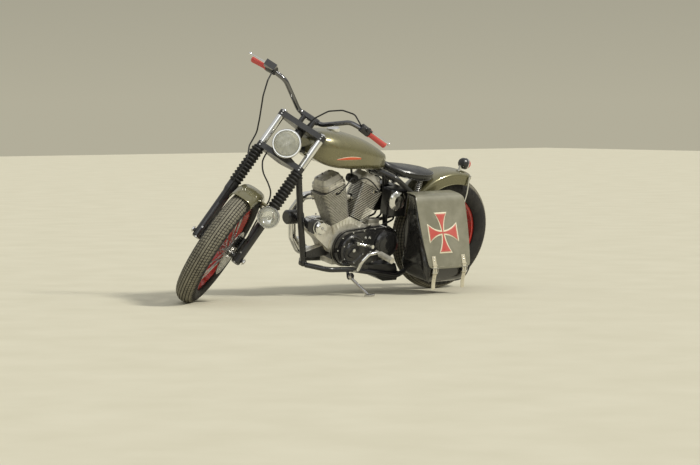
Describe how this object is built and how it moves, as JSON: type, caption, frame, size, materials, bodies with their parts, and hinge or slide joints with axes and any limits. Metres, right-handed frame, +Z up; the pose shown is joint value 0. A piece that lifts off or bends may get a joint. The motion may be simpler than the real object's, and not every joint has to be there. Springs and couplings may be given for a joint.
{
  "type": "chopper motorcycle",
  "caption": "Rigid-frame V-twin chopper leaning on its side stand, with a raked fork, high bars, teardrop tank, sprung solo seat and a left saddlebag.",
  "frame": {"origin": "centre of the bounding box's foot, on the floor", "axes": "+X towards the front wheel, +Y to the rider's left, +Z up; the bike leans 12 degrees to +Y on its stand"},
  "size_m": [2.1377, 0.8527, 1.2879],
  "materials": {
    "black_paint": "gloss",
    "olive_paint": "gloss",
    "chrome": "polished",
    "engine_alloy": "satin",
    "cylinder_iron": "satin",
    "black_metal": "satin",
    "chain_steel": "satin",
    "red_wheel": "gloss",
    "tyre_rubber": "matte",
    "soft_rubber": "matte",
    "red_rubber": "satin",
    "black_leather": "satin",
    "flap_leather": "matte",
    "red_lens": "gloss"
  },
  "bodies": {
    "frame": {"frame_backbone": "black_paint", "frame_downtube": "black_paint", "frame_rail_left": "black_paint", "frame_rail_right": "black_paint", "frame_stay_left": "black_paint", "frame_stay_right": "black_paint", "frame_seat_post": "black_paint", "crankcase": "engine_alloy", "front_cylinder": "cylinder_iron", "rear_cylinder": "cylinder_iron", "rocker_boxes": "engine_alloy", "primary_cover": "black_paint", "gear_cover": "engine_alloy", "generator": "black_metal", "oil_filter": "black_metal", "intake": "engine_alloy", "exhaust_pipes": "chrome", "oil_tank": "black_paint", "battery_box": "black_paint", "fuel_tank": "olive_paint", "fuel_cap": "chrome", "seat": "black_leather", "tank_cover": "chrome", "seat_springs": "chrome", "rear_fender": "olive_paint", "fender_struts": "chrome", "tail_lamp": "red_lens", "saddlebag": "black_leather", "bag_flap": "flap_leather", "foot_controls_left": "black_paint", "foot_controls_right": "black_paint", "drive_sprocket": "chain_steel", "drive_chain": "chain_steel", "rear_brake": "chain_steel"},
    "rear_wheel": {"rear_tyre": "tyre_rubber", "rear_wheel": "red_wheel"},
    "fork": {"fork_trees": "black_paint", "fork_tubes": "chrome", "fork_boots": "soft_rubber", "fork_legs": "black_paint", "headlight": "chrome", "spot_lamp": "chrome", "handlebar": "chrome", "grips": "red_rubber", "hand_controls": "chrome", "front_fender": "olive_paint", "cables": "soft_rubber"},
    "front_wheel": {"front_tyre": "tyre_rubber", "front_wheel": "red_wheel"},
    "side_stand": {"side_stand": "black_paint"}
  },
  "joints": [
    {"name": "steering", "type": "hinge", "parent": "frame", "child": "fork", "pos_m": [0.4386, 0.00047, 0.70755], "axis": [-0.5802, 0.1693, 0.7967], "range_deg": [-87, 0]},
    {"name": "front_wheel_spin", "type": "hinge", "parent": "fork", "child": "front_wheel", "pos_m": [0.77812, -0.0525, 0.29453], "axis": [-0.5617, 0.6252, -0.5419], "continuous": true},
    {"name": "rear_wheel_spin", "type": "hinge", "parent": "frame", "child": "rear_wheel", "pos_m": [-0.74891, -0.08309, 0.31443], "axis": [0, 0.9781, -0.2079], "continuous": true},
    {"name": "side_stand_fold", "type": "hinge", "parent": "frame", "child": "side_stand", "pos_m": [-0.03379, 0.02584, 0.10547], "axis": [-0.3754, 0.9033, 0.2077], "range_deg": [0, 86]}
  ]
}
